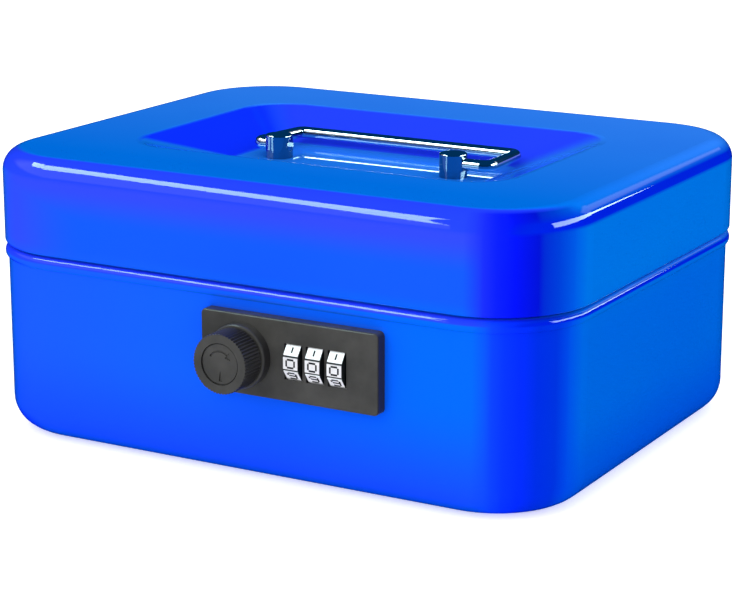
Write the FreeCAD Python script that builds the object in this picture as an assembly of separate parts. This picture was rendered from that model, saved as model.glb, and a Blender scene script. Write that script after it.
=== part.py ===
import FreeCAD, Part
import math
import os

# Small steel cash box with a combination lock, millimetres.
# Front faces -Y, +Z is up, the origin is the middle of the underside.

# Box outline
BOX_W = 200.0            # lid width along X
BOX_D = 160.0            # lid depth along Y
BOX_H = 90.0             # height to the lid's top face
SHEET = 1.0              # steel sheet thickness
CORNER_R = 30.0          # plan corner radius of the lid and of the base's bead
WALL_INSET = 1.0         # how far the base wall stands inside its bead
FOOT_R = 10.0            # rounding between the base's walls and its underside
LEDGE_Z = 59.6           # top of the base's bead, which carries the lid
LID_Z = 60.15            # lower edge of the closed lid
BEAD_Z = 55.4            # lower edge of the bead
BEAD_TOP_R = 2.2
BEAD_LOW_R = 1.8
RIM_GAP = 0.4            # between the lid's hem and the upstand inside it
RIM_TOP = 64.0           # top of the upstand
WALL_TOP = LEDGE_Z - 2.0 # where the base wall ends inside the bead

# Lid
LID_TOP_R = 7.0          # rounding along the lid's top edge
HEM = 2.0                # doubled edge thickness
HEM_TOP = 63.6
HEM_R = 1.2
RECESS_W = 132.0         # handle recess at the top face
RECESS_D = 88.0
RECESS_R = 15.0
FLOOR_W = 89.0           # flat floor of the recess
FLOOR_D = 36.0
FLOOR_R = 9.0
FLOOR_Z = 82.0
RECESS_BLEND = 8.0

# Hinges
HINGE_X = 48.0           # centre of each hinge, left and right
HINGE_W = 36.0
PIVOT_Y = 82.9
PIVOT_Z = 60.0
BARREL_R = 2.4
EYE_R = 1.4              # bore of the rolled barrel
PIN_R = 1.35
PIN_HEAD_R = 2.0
PIN_HEAD = 1.1           # thickness of the pin's head
PIN_HEAD_GAP = 0.1
LEAF = 1.0
BASE_LEAF_LOW = 38.0     # lower edge of the base leaf
JOGGLE_Z = 53.5          # where the base leaf steps out over the bead
JOGGLE = 1.4             # height of that step
JOGGLE_SLACK = 0.4       # how much lower the outside of the step starts
LUG_SLOT = 3.1           # depth below the pivot of the slot for the stop lug
LID_LEAF_LOW = 63.6
LID_LEAF_TOP = 79.0
KNUCKLE = 5.9            # half width of the lid leaf's knuckle
KNUCKLE_GAP = 0.3
LUG_IN = 1.9             # stop lug, from and to this far behind the pivot
LUG_OUT = 3.5
LUG_HALF = 0.7
RIVET_DX = 11.0
RIVET_BASE_Z = 46.0
RIVET_LID_Z = 72.0
RIVET_R = 1.55
RIVET_DOME_R = 3.4       # sphere that forms the head
RIVET_HEAD_R = 3.0
RIVET_DOME_SINK = 2.0    # how far the sphere's centre lies inside the leaf
RIVET_UPSET_R = 2.5
RIVET_UPSET = 1.1
RIVET_EDGE_R = 0.5

# Fits and tool allowances
HOLE_GAP = 0.05          # clearance of a pin or rivet in its hole
OVER = 1.0               # how far a cutting tool reaches past what it cuts
BITE = 0.5               # how far joined pieces reach into each other
SPIN_GAP = 0.3           # clearance round pieces that turn or slide freely
BOSS_GAP = 0.2           # clearance round the screw bosses
SPINDLE_GAP = 1.0        # clearance round the spindle in the base's wall
EDGE_TOL = 1e-4          # tolerance for picking edges by position

# Lock
LOCK_X = 19.3            # centre of the face plate
LOCK_Z = 40.3
PLATE_W = 59.8
PLATE_H = 24.4
PLATE_Y = -83.0          # front of the face plate
PLATE_R = 1.6
PLATE_EDGE_R = 0.7
KNOB_X = 3.7
KNOB_FRONT = -95.2
KNOB_BACK = -86.9
KNOB_R = 9.05
KNURL_DEPTH = 0.4
KNURL_TEETH = 56
KNOB_BEVEL = 0.15        # narrowing of the grip at its front edge
DISH_R = 6.3             # sunk face of the knob
DISH_DEPTH = 0.35
RING_W = 0.35            # groove round the sunk face
MARK_DEPTH = 0.35        # depth of the arrow and pointer below the sunk face
ARROW_R = 4.1
ARROW_W = 0.6
ARROW_START = -60        # degrees, clockwise from the top
ARROW_END = 40
ARROW_STEP = 10
ARROW_POINT = 28         # degrees that the arrow's head spans
POINTER_R = 5.2          # outer end of the pointer
POINTER_SPREAD = 6       # degrees, half of the pointer's width there
BEZEL_R = 9.7
BEZEL_Y = -86.4
BEZEL_EDGE_R = 0.7
NECK_R = 6.0
NECK_SINK = 2.2          # depth of the neck's seat in the bezel
SPINDLE_R = 3.0
SPINDLE_Y = -92.7        # front end of the spindle, inside the knob
TAIL_R = 1.5             # threaded tail behind the latch arm
TAIL = 2.4
DIAL_X = (21.2, 28.5, 35.8)
DIAL_Y = -78.2
DIAL_R = 6.9
DIAL_W = 4.85
DIAL_FACETS = 10
DIAL_GROOVE_R = 0.4      # groove along each corner between two facets
DIAL_CLEAR_R = 7.2
WINDOW_W = 6.1
SLEEVE_R = 2.6
SLEEVE_W = 6.8
GATE_IN = 1.9            # bottom of the gate, from the axle's centre
GATE_HALF = 0.9
AXLE_R = 1.5
OPENING_SIDE = 7.4       # lock opening in the base wall, beyond the outer dials
OPENING_HALF = 8.9       # half height of that opening
POCKET_LAP = 0.2         # how much smaller the plate's pocket is
POCKET_DEPTH = 3.0
CASE_X0 = -8.0
CASE_X1 = 49.0
CASE_HALF = 10.9         # half height of the housing
CASE_FRONT = -77.9
CASE_BACK = -66.5
CASE_WALL = 1.6
CASE_EDGE_R = 1.5
CHEEK = 1.6              # thickness of the plates that carry the axle
CHEEK_IN = 4.0           # first cheek, left of the first dial's centre
CHEEK_OUT = 4.4          # second cheek, right of the last dial's centre
EAR_FRONT = -81.0
EAR_HALF = 3.4
SCREW_DZ = 8.6
SCREWS = ((-5.0, LOCK_Z - SCREW_DZ), (46.2, LOCK_Z - SCREW_DZ), (46.2, LOCK_Z + SCREW_DZ))
SCREW_R = 1.2
SCREW_REACH = 3.5        # how far a screw goes into its boss
SCREW_HEAD_R = 2.2
SCREW_HEAD = 1.6
SCREW_SLOT = 0.6         # width and depth of the screwdriver slot
BOSS_R = 2.4
PILLAR_R = 2.7
SPRING_X = 3.0           # the spring's strip ends this far beyond the outer dials
SPRING_T = 0.4
SPRING_DROP = 8.2        # strip's top, below the dials' centre
SPRING_ROOT = 7.5        # strip's front, behind the dials' centre
SPRING_STRIP = 1.6
SPRING_CREST = 7.45      # highest point of a finger, below the dials' centre
FINGER_BEND = 2.1        # from the strip to the finger's bend
FINGER_TIP = 0.8         # the finger's crest and end, behind and before the centre
FINGER_SLOPE = 0.2
FINGER_W = 3.0
FENCE_FRONT = -70.9
FENCE_BACK = -69.3
FENCE_HALF = 1.6
TOOTH_END = -75.2
TOOTH_W = 0.7
LEVER_X = 26.5           # centre of the code lever at rest
LEVER_Z = LOCK_Z + 6.1
LEVER_TRAVEL = 4.6
THUMB_W = 3.6
THUMB_H = 4.0
STEM_W = 2.6
STEM_H = 2.0
CAM_Y0 = -66.1
CAM_Y1 = -64.3
CAM_HUB_R = 6.0
CAM_HALF = 4.0           # half width of the latch arm
CAM_TIP_R = 0.9
NOSE_LOW = 21.5          # radial position of the hook's catching face
NOSE_TOP = 24.5
NOSE_REACH = 8.6
SQUARE = 4.2
NUT_R = 3.2
NUT_H = 1.95

# Striker
LEG_X0 = 9.2
LEG_X1 = 10.4
LEG_FRONT = -70.2
LEG_BACK = -61.5
LEG_LOW = 60.0
FLANGE_LEFT = 9.0        # flange, beyond the leg's left and right faces
FLANGE_RIGHT = 3.0
FLANGE_T = 1.2
FLANGE_LOW = 66.2
FLANGE_R = 1.5
STRIKER_TOP = 73.0
CATCH = (-67.3, -63.4, 61.5, 67.2)   # window for the hook: from and to along Y, then Z

# Handle
POST_X = 31.6
POST_Y = -4.5
POST_R = 4.4
POST_TOP = 89.5
POST_EDGE_R = 0.5
BAIL_Z = 86.2            # height of the cross holes that the wire turns in
WIRE_R = 1.9
WIRE_GAP = 0.06
BAIL_FRONT = 41.9        # half distance between the arms at the posts
BAIL_REAR = 39.8         # half distance between the arms at the bar
BAIL_REACH = 24.0        # from the posts to the bar
BAIL_SHIFT = 2.0         # the loose handle lies this far to the right
BAIL_TILT = 1.2          # degrees that the folded handle leans down to the rear
BEND_R = 2.4
WIRE_END = 29.4
TENON_R = 2.2
TENON_CLEAR = 1.6        # how far the tenon reaches below the lid's sheet
PEEN_R = 3.4
PEEN_TOP = 1.05          # peened head, from and to this far below the sheet
PEEN_LOW = 2.4
PEEN_EDGE_R = 0.6
WASHER_R = 5.5
WASHER_T = 1.0

# Coin tray
TRAY_W = 186.0
TRAY_D = 148.0
TRAY_R = 24.0
TRAY_Z0 = 36.0
TRAY_Z1 = 60.0
TRAY_WALL = 1.6
TRAY_EDGE_R = 3.0
NOTCH_X0 = -27.0
NOTCH_X1 = 54.0
NOTCH_Y = -60.5
DIVIDER_Y = 8.0          # wall between the front and rear compartments
DIVIDER_X = 30.0         # walls between the front compartments
REST_TOP = 35.7
REST_HALF = 45.0         # half length of the strips that carry the tray
REST_H = 8.0
REST_W = 9.0

V = FreeCAD.Vector
X_AXIS = V(1, 0, 0)
Y_AXIS = V(0, 1, 0)
Z_AXIS = V(0, 0, 1)


def box(x0, x1, y0, y1, z0, z1):
    return Part.makeBox(x1 - x0, y1 - y0, z1 - z0, V(x0, y0, z0))


def rod_x(x0, x1, y, z, r):
    return Part.makeCylinder(r, x1 - x0, V(x0, y, z), X_AXIS)


def rod_y(y0, y1, x, z, r):
    return Part.makeCylinder(r, y1 - y0, V(x, y0, z), Y_AXIS)


def rod_z(z0, z1, x, y, r):
    return Part.makeCylinder(r, z1 - z0, V(x, y, z0), Z_AXIS)


def fuse(shapes):
    body = shapes[0]
    for shape in shapes[1:]:
        body = body.fuse(shape)
    return body.removeSplitter()


def cut(body, tools):
    for tool in tools:
        body = body.cut(tool)
    return body


def edges_at(shape, z, x_limit=BOX_W, y_limit=BOX_D):
    """Edges lying in the plane at height z, inside a centred rectangle."""
    picked = []
    for edge in shape.Edges:
        b = edge.BoundBox
        flat = abs(b.ZMin - z) < EDGE_TOL and abs(b.ZMax - z) < EDGE_TOL
        inside = max(-b.XMin, b.XMax) < x_limit and max(-b.YMin, b.YMax) < y_limit
        if flat and inside:
            picked.append(edge)
    return picked


def front_edges(shape, y):
    """Edges lying in the plane at depth y."""
    picked = []
    for edge in shape.Edges:
        if abs(edge.BoundBox.YMin - y) < EDGE_TOL and abs(edge.BoundBox.YMax - y) < EDGE_TOL:
            picked.append(edge)
    return picked


def edges_along_y(shape):
    """Straight edges that run the shape's depth."""
    return [edge for edge in shape.Edges if edge.BoundBox.YLength > edge.Length - EDGE_TOL]


def rounded_prism(width, depth, radius, z0, z1):
    """Upright prism with a centred rounded-rectangle plan."""
    solid = box(-width / 2, width / 2, -depth / 2, depth / 2, z0, z1)
    uprights = []
    for edge in solid.Edges:
        if edge.BoundBox.ZLength > 0.5 * (z1 - z0):
            uprights.append(edge)
    return solid.makeFillet(radius, uprights)


def rounded_wire(width, depth, radius, z):
    """Centred rounded rectangle, as one closed wire."""
    x = width / 2 - radius
    y = depth / 2 - radius
    k = radius * math.sqrt(0.5)
    corners = ((x, y, 1, 1), (-x, y, -1, 1), (-x, -y, -1, -1), (x, -y, 1, -1))
    edges = []
    for i, (cx, cy, sx, sy) in enumerate(corners):
        along_x = V(cx + sx * radius, cy, z)
        along_y = V(cx, cy + sy * radius, z)
        start, end = (along_x, along_y) if i % 2 == 0 else (along_y, along_x)
        middle = V(cx + sx * k, cy + sy * k, z)
        edges.append(Part.Arc(start, middle, end).toShape())
        nx, ny, nsx, nsy = corners[(i + 1) % 4]
        after_x = V(nx + nsx * radius, ny, z)
        after_y = V(nx, ny + nsy * radius, z)
        after = after_y if i % 2 == 0 else after_x
        edges.append(Part.makeLine(end, after))
    return Part.Wire(edges)


def extrude_yz(points, x0, x1):
    """Prism along X from a polygon given as (y, z) pairs."""
    corners = [V(x0, y, z) for y, z in points]
    face = Part.Face(Part.makePolygon(corners + corners[:1]))
    return face.extrude(V(x1 - x0, 0, 0))


def extrude_xz(points, y0, y1):
    """Prism along Y from a polygon given as (x, z) pairs."""
    corners = [V(x, y0, z) for x, z in points]
    face = Part.Face(Part.makePolygon(corners + corners[:1]))
    return face.extrude(V(0, y1 - y0, 0))


def rivet_spots(z):
    return [(side * HINGE_X + dx, z) for side in (-1, 1) for dx in (-RIVET_DX, RIVET_DX)]


def rivet_holes(z, y0, y1):
    return [rod_y(y0, y1, x, height, RIVET_R + HOLE_GAP) for x, height in rivet_spots(z)]


def base_shell():
    """Pressed tray with a rolled bead and an upstand that the lid closes over."""
    inset = WALL_INSET
    wall = rounded_prism(BOX_W - 2 * inset, BOX_D - 2 * inset, CORNER_R - inset, 0, WALL_TOP)
    wall = wall.makeFillet(FOOT_R, edges_at(wall, 0))
    bead = rounded_prism(BOX_W, BOX_D, CORNER_R, BEAD_Z, LEDGE_Z)
    bead = bead.makeFillet(BEAD_TOP_R, edges_at(bead, LEDGE_Z))
    bead = bead.makeFillet(BEAD_LOW_R, edges_at(bead, BEAD_Z))
    step = HEM + RIM_GAP
    rim = rounded_prism(BOX_W - 2 * step, BOX_D - 2 * step, CORNER_R - step, BEAD_Z + OVER, RIM_TOP)
    shell = fuse([wall, bead, rim])
    skin = inset + SHEET
    room = rounded_prism(BOX_W - 2 * skin, BOX_D - 2 * skin, CORNER_R - skin, SHEET, WALL_TOP)
    room = room.makeFillet(FOOT_R - SHEET, edges_at(room, SHEET))
    groove = rounded_prism(BOX_W - 2 * SHEET, BOX_D - 2 * SHEET, CORNER_R - SHEET,
                           BEAD_Z + SHEET, LEDGE_Z - SHEET)
    groove = groove.makeFillet(BEAD_TOP_R - SHEET, edges_at(groove, LEDGE_Z - SHEET))
    groove = groove.makeFillet(BEAD_LOW_R - SHEET, edges_at(groove, BEAD_Z + SHEET))
    inner = step + SHEET
    throat = rounded_prism(BOX_W - 2 * inner, BOX_D - 2 * inner, CORNER_R - inner,
                           WALL_TOP - OVER, RIM_TOP + OVER)
    shell = cut(shell, [room, groove, throat])
    front = BOX_D / 2
    y0 = -front - OVER
    y1 = -front + inset + SHEET + OVER
    window = box(DIAL_X[0] - OPENING_SIDE, DIAL_X[2] + OPENING_SIDE, y0, y1,
                 LOCK_Z - OPENING_HALF, LOCK_Z + OPENING_HALF)
    bosses = [rod_y(y0, y1, x, z, BOSS_R + BOSS_GAP) for x, z in SCREWS]
    spindle = rod_y(y0, y1, KNOB_X, LOCK_Z, SPINDLE_R + SPINDLE_GAP)
    return cut(shell, [window, spindle] + bosses + rivet_holes(RIVET_BASE_Z, -y1, -y0))


def recess_tool(drop):
    """Dish that forms the handle recess, lowered by drop."""
    top = rounded_wire(RECESS_W, RECESS_D, RECESS_R, BOX_H - drop)
    floor = rounded_wire(FLOOR_W, FLOOR_D, FLOOR_R, FLOOR_Z - drop)
    return Part.makeLoft([floor, top], True, True)


def dished(body, drop):
    """Cuts the dish into a body whose top face lies drop below the lid's top."""
    body = body.cut(recess_tool(drop))
    rim = edges_at(body, BOX_H - drop, RECESS_W / 2 + OVER, RECESS_D / 2 + OVER)
    body = body.makeFillet(RECESS_BLEND, rim)
    foot = edges_at(body, FLOOR_Z - drop, FLOOR_W / 2 + OVER, FLOOR_D / 2 + OVER)
    return body.makeFillet(RECESS_BLEND, foot)


def lid_shell():
    """Pressed lid with a hemmed edge and a dished recess for the handle."""
    outer = rounded_prism(BOX_W, BOX_D, CORNER_R, LID_Z, BOX_H)
    outer = outer.makeFillet(LID_TOP_R, edges_at(outer, BOX_H))
    outer = outer.makeFillet(HEM_R, edges_at(outer, LID_Z))
    outer = dished(outer, 0)
    room = rounded_prism(BOX_W - 2 * SHEET, BOX_D - 2 * SHEET, CORNER_R - SHEET,
                         HEM_TOP, BOX_H - SHEET)
    room = room.makeFillet(LID_TOP_R - SHEET, edges_at(room, BOX_H - SHEET))
    room = dished(room, SHEET)
    mouth = rounded_prism(BOX_W - 2 * HEM, BOX_D - 2 * HEM, CORNER_R - HEM, LID_Z - OVER, HEM_TOP)
    lid = cut(outer, [room, mouth])
    z0 = FLOOR_Z - SHEET - OVER
    z1 = FLOOR_Z + OVER
    posts = [rod_z(z0, z1, side * POST_X, POST_Y, TENON_R + HOLE_GAP) for side in (-1, 1)]
    back = BOX_D / 2
    return cut(lid, posts + rivet_holes(RIVET_LID_Z, back - SHEET - OVER, back + OVER))


def barrel(x0, x1):
    tube = rod_x(x0, x1, PIVOT_Y, PIVOT_Z, BARREL_R)
    return tube.cut(rod_x(x0 - OVER, x1 + OVER, PIVOT_Y, PIVOT_Z, EYE_R))


def hinge_base_leaf(side):
    """Leaf on the base's back wall, joggled over the bead, with two knuckles."""
    middle = side * HINGE_X
    x0 = middle - HINGE_W / 2
    x1 = middle + HINGE_W / 2
    wall = BOX_D / 2 - WALL_INSET
    near = PIVOT_Y - BARREL_R
    step_top = JOGGLE_Z + JOGGLE
    profile = [(wall, BASE_LEAF_LOW), (wall + LEAF, BASE_LEAF_LOW), (wall + LEAF, JOGGLE_Z),
               (near + LEAF, step_top), (near + LEAF, PIVOT_Z), (near, PIVOT_Z),
               (near, step_top + JOGGLE_SLACK), (wall, JOGGLE_Z + JOGGLE_SLACK)]
    leaf = extrude_yz(profile, x0, x1)
    open_half = KNUCKLE + KNUCKLE_GAP
    slot = box(middle - open_half, middle + open_half, near - OVER, near + LEAF + OVER,
               PIVOT_Z - LUG_SLOT, PIVOT_Z + OVER)
    knuckles = [barrel(x0, middle - open_half), barrel(middle + open_half, x1)]
    bore = rod_x(x0 - OVER, x1 + OVER, PIVOT_Y, PIVOT_Z, EYE_R)
    leaf = fuse([cut(leaf, [slot, bore])] + knuckles)
    return cut(leaf, rivet_holes(RIVET_BASE_Z, wall - OVER, wall + LEAF + OVER))


def hinge_lid_leaf(side):
    """Leaf on the lid's back wall with one knuckle and the lug that stops the open lid."""
    middle = side * HINGE_X
    wall = BOX_D / 2
    near = PIVOT_Y - BARREL_R
    low = LID_LEAF_LOW
    plate = extrude_yz([(wall, low + JOGGLE_SLACK), (wall, LID_LEAF_TOP),
                        (wall + LEAF, LID_LEAF_TOP), (wall + LEAF, low)],
                       middle - HINGE_W / 2, middle + HINGE_W / 2)
    neck = extrude_yz([(wall, low + JOGGLE_SLACK), (wall + LEAF, low + JOGGLE_SLACK),
                       (near + LEAF, low - JOGGLE_SLACK), (near + LEAF, PIVOT_Z),
                       (near, PIVOT_Z), (near, low - JOGGLE_SLACK)],
                      middle - KNUCKLE, middle + KNUCKLE)
    lug = box(middle - KNUCKLE, middle + KNUCKLE, PIVOT_Y + LUG_IN, PIVOT_Y + LUG_OUT,
              PIVOT_Z - LUG_HALF, PIVOT_Z + LUG_HALF)
    bore = rod_x(middle - HINGE_W, middle + HINGE_W, PIVOT_Y, PIVOT_Z, EYE_R)
    leaf = fuse([plate, neck, barrel(middle - KNUCKLE, middle + KNUCKLE), lug]).cut(bore)
    return cut(leaf, rivet_holes(RIVET_LID_Z, wall - OVER, wall + LEAF + OVER))


def hinge_pin(side):
    """Pin through the knuckles, with a small head at its left end."""
    x0 = side * HINGE_X - HINGE_W / 2
    x1 = side * HINGE_X + HINGE_W / 2
    pin = rod_x(x0 - BITE, x1 + BITE, PIVOT_Y, PIVOT_Z, PIN_R)
    head = rod_x(x0 - PIN_HEAD_GAP - PIN_HEAD, x0 - PIN_HEAD_GAP, PIVOT_Y, PIVOT_Z, PIN_HEAD_R)
    return fuse([pin, head])


def rivet(x, z, wall_in, leaf_out):
    """Domed head on the leaf, shank through leaf and wall, upset head inside."""
    shank = rod_y(wall_in - BITE, leaf_out + BITE, x, z, RIVET_R)
    dome = Part.makeSphere(RIVET_DOME_R, V(x, leaf_out - RIVET_DOME_SINK, z))
    dome = dome.common(rod_y(leaf_out, leaf_out + RIVET_DOME_R, x, z, RIVET_HEAD_R))
    end = wall_in - RIVET_UPSET
    upset = rod_y(end, wall_in, x, z, RIVET_UPSET_R)
    upset = upset.makeFillet(RIVET_EDGE_R, front_edges(upset, end))
    return fuse([shank, dome, upset])


def hinge_rivets(z, wall_in, leaf_out):
    return Part.makeCompound([rivet(x, height, wall_in, leaf_out) for x, height in rivet_spots(z)])


def lock_plate():
    """Moulded face plate: three dial windows, knob bezel, pocket and screw bosses."""
    wall = -(BOX_D / 2 - WALL_INSET)
    x0 = LOCK_X - PLATE_W / 2
    z0 = LOCK_Z - PLATE_H / 2
    plate = box(x0, x0 + PLATE_W, PLATE_Y, wall, z0, z0 + PLATE_H)
    plate = plate.makeFillet(PLATE_R, edges_along_y(plate))
    plate = plate.makeFillet(PLATE_EDGE_R, front_edges(plate, PLATE_Y))
    bezel = rod_y(BEZEL_Y, PLATE_Y + BITE, KNOB_X, LOCK_Z, BEZEL_R)
    bezel = bezel.makeFillet(BEZEL_EDGE_R, front_edges(bezel, BEZEL_Y))
    bosses = [rod_y(wall - BITE, CASE_FRONT - BOSS_GAP, x, z, BOSS_R) for x, z in SCREWS]
    body = fuse([plate, bezel] + bosses)
    side = OPENING_SIDE - POCKET_LAP
    half = OPENING_HALF - POCKET_LAP
    pocket = box(DIAL_X[0] - side, DIAL_X[2] + side, wall - POCKET_DEPTH, wall + OVER,
                 LOCK_Z - half, LOCK_Z + half)
    windows = [rod_x(x - WINDOW_W / 2, x + WINDOW_W / 2, DIAL_Y, LOCK_Z, DIAL_CLEAR_R) for x in DIAL_X]
    reach = CASE_FRONT + OVER
    holes = [rod_y(wall - POCKET_DEPTH, reach, x, z, SCREW_R + HOLE_GAP) for x, z in SCREWS]
    neck = rod_y(BEZEL_Y - OVER, BEZEL_Y + NECK_SINK, KNOB_X, LOCK_Z, NECK_R + SPIN_GAP)
    shaft = rod_y(BEZEL_Y - OVER, wall + OVER, KNOB_X, LOCK_Z, SPINDLE_R + HOLE_GAP)
    return cut(body, [pocket, neck, shaft] + windows + holes)


def knurled_prism(radius, depth, teeth, y0, y1):
    """Cylinder along Y with fine straight knurling."""
    points = []
    for i in range(2 * teeth):
        r = radius if i % 2 == 0 else radius - depth
        a = math.pi * i / teeth
        points.append((KNOB_X + r * math.sin(a), LOCK_Z + r * math.cos(a)))
    return extrude_xz(points, y0, y1)


def ring_y(y0, y1, inner, outer):
    """Ring about the knob's axis."""
    ring = rod_y(y0, y1, KNOB_X, LOCK_Z, outer)
    return ring.cut(rod_y(y0 - OVER, y1 + OVER, KNOB_X, LOCK_Z, inner))


def face_point(radius, degrees):
    """Point on the knob's face as (x, z), degrees counted clockwise from the top."""
    a = math.radians(degrees)
    return (KNOB_X + radius * math.sin(a), LOCK_Z + radius * math.cos(a))


def turn_arrow(y0, y1):
    """Cutters for the curved arrow over the top of the knob and the pointer below it."""
    fan = [face_point(0, 0)]
    for degrees in range(ARROW_START, ARROW_END + 1, ARROW_STEP):
        fan.append(face_point(2 * ARROW_R, degrees))
    arc = ring_y(y0, y1, ARROW_R - ARROW_W, ARROW_R).common(extrude_xz(fan, y0 - OVER, y1 + OVER))
    middle = ARROW_R - ARROW_W / 2
    barbs = [face_point(middle + reach, ARROW_END) for reach in (-2 * ARROW_W, 2 * ARROW_W)]
    head = extrude_xz(barbs + [face_point(middle, ARROW_END + ARROW_POINT)], y0, y1)
    base = [face_point(POINTER_R, 180 + spread) for spread in (-POINTER_SPREAD, POINTER_SPREAD)]
    pointer = extrude_xz(base + [face_point(ARROW_R / 2, 180)], y0, y1)
    return [arc, head, pointer]


def turn_knob():
    """Knurled knob with a dished face, a turn arrow and a pointer mark."""
    grip = knurled_prism(KNOB_R, KNURL_DEPTH, KNURL_TEETH, KNOB_FRONT, KNOB_BACK)
    cone = Part.makeCone(KNOB_R - KNOB_BEVEL, 2 * KNOB_R - KNOB_BEVEL, KNOB_R,
                         V(KNOB_X, KNOB_FRONT, LOCK_Z), Y_AXIS)
    grip = grip.common(cone)
    neck = rod_y(KNOB_BACK - BITE, BEZEL_Y + NECK_SINK - SPIN_GAP, KNOB_X, LOCK_Z, NECK_R)
    knob = fuse([grip, neck])
    face = KNOB_FRONT + DISH_DEPTH
    dish = rod_y(KNOB_FRONT - OVER, face, KNOB_X, LOCK_Z, DISH_R)
    floor = face + MARK_DEPTH
    groove = ring_y(face - BITE, floor, DISH_R - RING_W, DISH_R)
    socket = rod_y(SPINDLE_Y - SPIN_GAP, KNOB_BACK + 2 * NECK_SINK, KNOB_X, LOCK_Z, SPINDLE_R + HOLE_GAP)
    return cut(knob, [dish, groove, socket] + turn_arrow(face - BITE, floor))


def knob_spindle():
    """Round shaft with a squared end for the latch arm and a threaded tail."""
    shaft = rod_y(SPINDLE_Y, CAM_Y0 - SPIN_GAP, KNOB_X, LOCK_Z, SPINDLE_R)
    half = SQUARE / 2
    square = box(KNOB_X - half, KNOB_X + half, CAM_Y0 - BITE, CAM_Y1, LOCK_Z - half, LOCK_Z + half)
    tail = rod_y(CAM_Y1 - BITE, CAM_Y1 + TAIL, KNOB_X, LOCK_Z, TAIL_R)
    return fuse([shaft, square, tail])


def latch_cam():
    """Flat hook arm, pointing left when the lid is free and upward when locked."""
    hub = rod_y(CAM_Y0, CAM_Y1, KNOB_X, LOCK_Z, CAM_HUB_R)
    arm = box(KNOB_X - NOSE_TOP, KNOB_X, CAM_Y0, CAM_Y1, LOCK_Z - CAM_HALF, LOCK_Z + CAM_HALF)
    nose = box(KNOB_X - NOSE_TOP, KNOB_X - NOSE_LOW, CAM_Y0, CAM_Y1, LOCK_Z, LOCK_Z + NOSE_REACH)
    cam = fuse([hub, arm, nose])
    outside = [edge for edge in edges_along_y(cam) if edge.BoundBox.XMax < KNOB_X - NOSE_TOP + BITE]
    cam = cam.makeFillet(CAM_TIP_R, outside)
    half = SQUARE / 2 + HOLE_GAP
    return cam.cut(box(KNOB_X - half, KNOB_X + half, CAM_Y0 - OVER, CAM_Y1 + OVER,
                       LOCK_Z - half, LOCK_Z + half))


def cam_nut():
    """Hexagon nut on the spindle's tail."""
    points = []
    for i in range(6):
        a = math.pi * i / 3
        points.append((KNOB_X + NUT_R * math.cos(a), LOCK_Z + NUT_R * math.sin(a)))
    y0 = CAM_Y1 + HOLE_GAP
    nut = extrude_xz(points, y0, y0 + NUT_H)
    return nut.cut(rod_y(y0 - OVER, y0 + NUT_H + OVER, KNOB_X, LOCK_Z, TAIL_R + HOLE_GAP))


def number_dial(x):
    """Ten-sided wheel with a groove at every corner, bored for its sleeve."""
    points = []
    for i in range(DIAL_FACETS):
        a = 2 * math.pi * (i + 0.5) / DIAL_FACETS
        points.append((DIAL_Y - DIAL_R * math.cos(a), LOCK_Z + DIAL_R * math.sin(a)))
    dial = extrude_yz(points, x - DIAL_W / 2, x + DIAL_W / 2)
    grooves = [rod_x(x - DIAL_W, x + DIAL_W, y, z, DIAL_GROOVE_R) for y, z in points]
    bore = rod_x(x - DIAL_W, x + DIAL_W, DIAL_Y, LOCK_Z, SLEEVE_R + HOLE_GAP)
    return cut(dial, grooves + [bore])


def clutch_sleeve(x):
    """Brass sleeve inside a dial, with the gate that the fence looks for."""
    sleeve = rod_x(x - SLEEVE_W / 2, x + SLEEVE_W / 2, DIAL_Y, LOCK_Z, SLEEVE_R)
    bore = rod_x(x - SLEEVE_W, x + SLEEVE_W, DIAL_Y, LOCK_Z, AXLE_R + HOLE_GAP)
    gate = box(x + DIAL_W / 2, x + SLEEVE_W, DIAL_Y + GATE_IN, DIAL_Y + SLEEVE_R + OVER,
               LOCK_Z - GATE_HALF, LOCK_Z + GATE_HALF)
    return cut(sleeve, [bore, gate])


def dial_axle():
    return rod_x(DIAL_X[0] - CHEEK_IN - CHEEK, DIAL_X[2] + CHEEK_OUT + CHEEK, DIAL_Y, LOCK_Z, AXLE_R)


def detent_spring():
    """Leaf spring under the dials, one finger for each."""
    top = LOCK_Z - SPRING_DROP
    low = top - SPRING_T
    root = DIAL_Y + SPRING_ROOT
    strip = box(DIAL_X[0] - SPRING_X, DIAL_X[2] + SPRING_X, root, root + SPRING_STRIP, low, top)
    bend = root - FINGER_BEND
    crest = DIAL_Y + FINGER_TIP
    tip = DIAL_Y - FINGER_TIP
    rise = LOCK_Z - SPRING_CREST
    profile = [(root + BITE, low), (root + BITE, top), (bend, top + FINGER_SLOPE), (crest, rise),
               (tip, rise - SPRING_T), (tip, rise - 2 * SPRING_T), (crest, rise - SPRING_T),
               (bend, low + FINGER_SLOPE)]
    fingers = [extrude_yz(profile, x - FINGER_W / 2, x + FINGER_W / 2) for x in DIAL_X]
    return fuse([strip] + fingers)


def fence_bar():
    """Bar behind the dials with a tooth facing each sleeve's gate."""
    bar = box(DIAL_X[0] - OVER, DIAL_X[2] + CHEEK_OUT, FENCE_FRONT, FENCE_BACK,
              LOCK_Z - FENCE_HALF, LOCK_Z + FENCE_HALF)
    half = GATE_HALF - SPIN_GAP
    teeth = []
    for x in DIAL_X:
        x0 = x + DIAL_W / 2 + SPIN_GAP
        teeth.append(box(x0, x0 + TOOTH_W, TOOTH_END, FENCE_FRONT + BITE, LOCK_Z - half, LOCK_Z + half))
    return fuse([bar] + teeth)


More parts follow.
